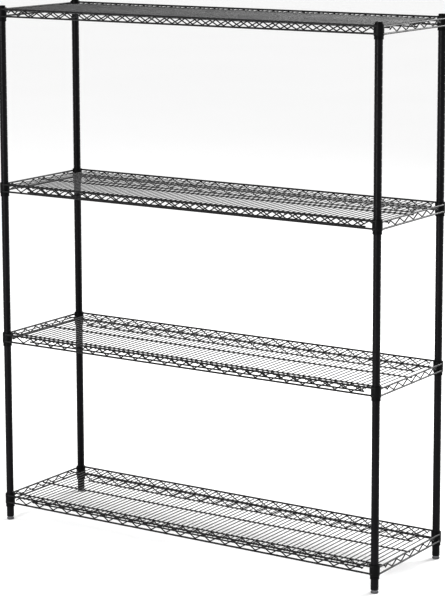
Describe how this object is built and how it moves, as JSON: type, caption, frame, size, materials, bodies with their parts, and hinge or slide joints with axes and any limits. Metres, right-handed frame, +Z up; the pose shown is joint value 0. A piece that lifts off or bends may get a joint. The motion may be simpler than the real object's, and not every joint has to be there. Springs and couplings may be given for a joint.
{
  "type": "wire shelving rack",
  "caption": "Free-standing wire shelving rack: grooved round posts, lift-off welded wire shelves on tapered split sleeves, capped tops and screw levelling feet.",
  "frame": {"origin": "on the floor at the middle of the footprint", "axes": "+X along the shelves, +Y from the front to the back, +Z up"},
  "size_m": [1.5198, 0.453, 1.8288],
  "materials": {
    "post_coating": "satin black powder coat on grooved steel tube",
    "wire_coating": "satin black powder coat on welded steel wire",
    "collar_coating": "satin black powder coat on steel ring",
    "cap_plastic": "moulded black plastic, fine texture",
    "sleeve_plastic": "moulded black plastic",
    "insert_steel": "turned steel",
    "stud_zinc": "bright zinc plate",
    "pad_plastic": "moulded black plastic"
  },
  "bodies": {
    "frame": {"front_left_post": "post_coating", "front_left_cap": "cap_plastic", "front_left_foot_insert": "insert_steel", "front_right_post": "post_coating", "front_right_cap": "cap_plastic", "front_right_foot_insert": "insert_steel", "back_left_post": "post_coating", "back_left_cap": "cap_plastic", "back_left_foot_insert": "insert_steel", "back_right_post": "post_coating", "back_right_cap": "cap_plastic", "back_right_foot_insert": "insert_steel", "shelf_1_sleeves_inner": "sleeve_plastic", "shelf_1_sleeves_outer": "sleeve_plastic", "shelf_2_sleeves_inner": "sleeve_plastic", "shelf_2_sleeves_outer": "sleeve_plastic", "shelf_3_sleeves_inner": "sleeve_plastic", "shelf_3_sleeves_outer": "sleeve_plastic", "shelf_4_sleeves_inner": "sleeve_plastic", "shelf_4_sleeves_outer": "sleeve_plastic"},
    "shelf_1": {"shelf_1_front_truss": "wire_coating", "shelf_1_back_truss": "wire_coating", "shelf_1_left_truss": "wire_coating", "shelf_1_right_truss": "wire_coating", "shelf_1_inner_trusses": "wire_coating", "shelf_1_deck_wires": "wire_coating", "shelf_1_collars": "collar_coating"},
    "shelf_2": {"shelf_2_front_truss": "wire_coating", "shelf_2_back_truss": "wire_coating", "shelf_2_left_truss": "wire_coating", "shelf_2_right_truss": "wire_coating", "shelf_2_inner_trusses": "wire_coating", "shelf_2_deck_wires": "wire_coating", "shelf_2_collars": "collar_coating"},
    "shelf_3": {"shelf_3_front_truss": "wire_coating", "shelf_3_back_truss": "wire_coating", "shelf_3_left_truss": "wire_coating", "shelf_3_right_truss": "wire_coating", "shelf_3_inner_trusses": "wire_coating", "shelf_3_deck_wires": "wire_coating", "shelf_3_collars": "collar_coating"},
    "shelf_4": {"shelf_4_front_truss": "wire_coating", "shelf_4_back_truss": "wire_coating", "shelf_4_left_truss": "wire_coating", "shelf_4_right_truss": "wire_coating", "shelf_4_inner_trusses": "wire_coating", "shelf_4_deck_wires": "wire_coating", "shelf_4_collars": "collar_coating"},
    "front_left_pad": {"front_left_foot_pad": "pad_plastic"},
    "front_left_stud": {"front_left_foot_stud": "stud_zinc"},
    "front_right_pad": {"front_right_foot_pad": "pad_plastic"},
    "front_right_stud": {"front_right_foot_stud": "stud_zinc"},
    "back_left_pad": {"back_left_foot_pad": "pad_plastic"},
    "back_left_stud": {"back_left_foot_stud": "stud_zinc"},
    "back_right_pad": {"back_right_foot_pad": "pad_plastic"},
    "back_right_stud": {"back_right_foot_stud": "stud_zinc"}
  },
  "joints": [
    {"name": "shelf_1_lift", "type": "slide", "parent": "frame", "child": "shelf_1", "axis": [0, 0, 1], "range_m": [0, 0.53]},
    {"name": "shelf_2_lift", "type": "slide", "parent": "frame", "child": "shelf_2", "axis": [0, 0, 1], "range_m": [0, 0.48]},
    {"name": "shelf_3_lift", "type": "slide", "parent": "frame", "child": "shelf_3", "axis": [0, 0, 1], "range_m": [0, 0.555]},
    {"name": "shelf_4_lift", "type": "slide", "parent": "frame", "child": "shelf_4", "axis": [0, 0, 1], "range_m": [0, 0.15]},
    {"name": "front_left_foot_height", "type": "slide", "parent": "frame", "child": "front_left_pad", "axis": [0, 0, -1], "range_m": [0, 0.018]},
    {"name": "front_left_foot_turn", "type": "hinge", "parent": "front_left_pad", "child": "front_left_stud", "pos_m": [-0.74295, -0.20955, 0.0088], "axis": [0, 0, -1], "range_deg": [0, 4321]},
    {"name": "front_right_foot_height", "type": "slide", "parent": "frame", "child": "front_right_pad", "axis": [0, 0, -1], "range_m": [0, 0.018]},
    {"name": "front_right_foot_turn", "type": "hinge", "parent": "front_right_pad", "child": "front_right_stud", "pos_m": [0.74295, -0.20955, 0.0088], "axis": [0, 0, -1], "range_deg": [0, 4321]},
    {"name": "back_left_foot_height", "type": "slide", "parent": "frame", "child": "back_left_pad", "axis": [0, 0, -1], "range_m": [0, 0.018]},
    {"name": "back_left_foot_turn", "type": "hinge", "parent": "back_left_pad", "child": "back_left_stud", "pos_m": [-0.74295, 0.20955, 0.0088], "axis": [0, 0, -1], "range_deg": [0, 4321]},
    {"name": "back_right_foot_height", "type": "slide", "parent": "frame", "child": "back_right_pad", "axis": [0, 0, -1], "range_m": [0, 0.018]},
    {"name": "back_right_foot_turn", "type": "hinge", "parent": "back_right_pad", "child": "back_right_stud", "pos_m": [0.74295, 0.20955, 0.0088], "axis": [0, 0, -1], "range_deg": [0, 4321]}
  ],
  "couplings": [
    {"joint": "front_left_foot_turn", "follows": "front_left_foot_height", "rad_per_m": 4188.8},
    {"joint": "front_right_foot_turn", "follows": "front_right_foot_height", "rad_per_m": 4188.8},
    {"joint": "back_left_foot_turn", "follows": "back_left_foot_height", "rad_per_m": 4188.8},
    {"joint": "back_right_foot_turn", "follows": "back_right_foot_height", "rad_per_m": 4188.8}
  ]
}
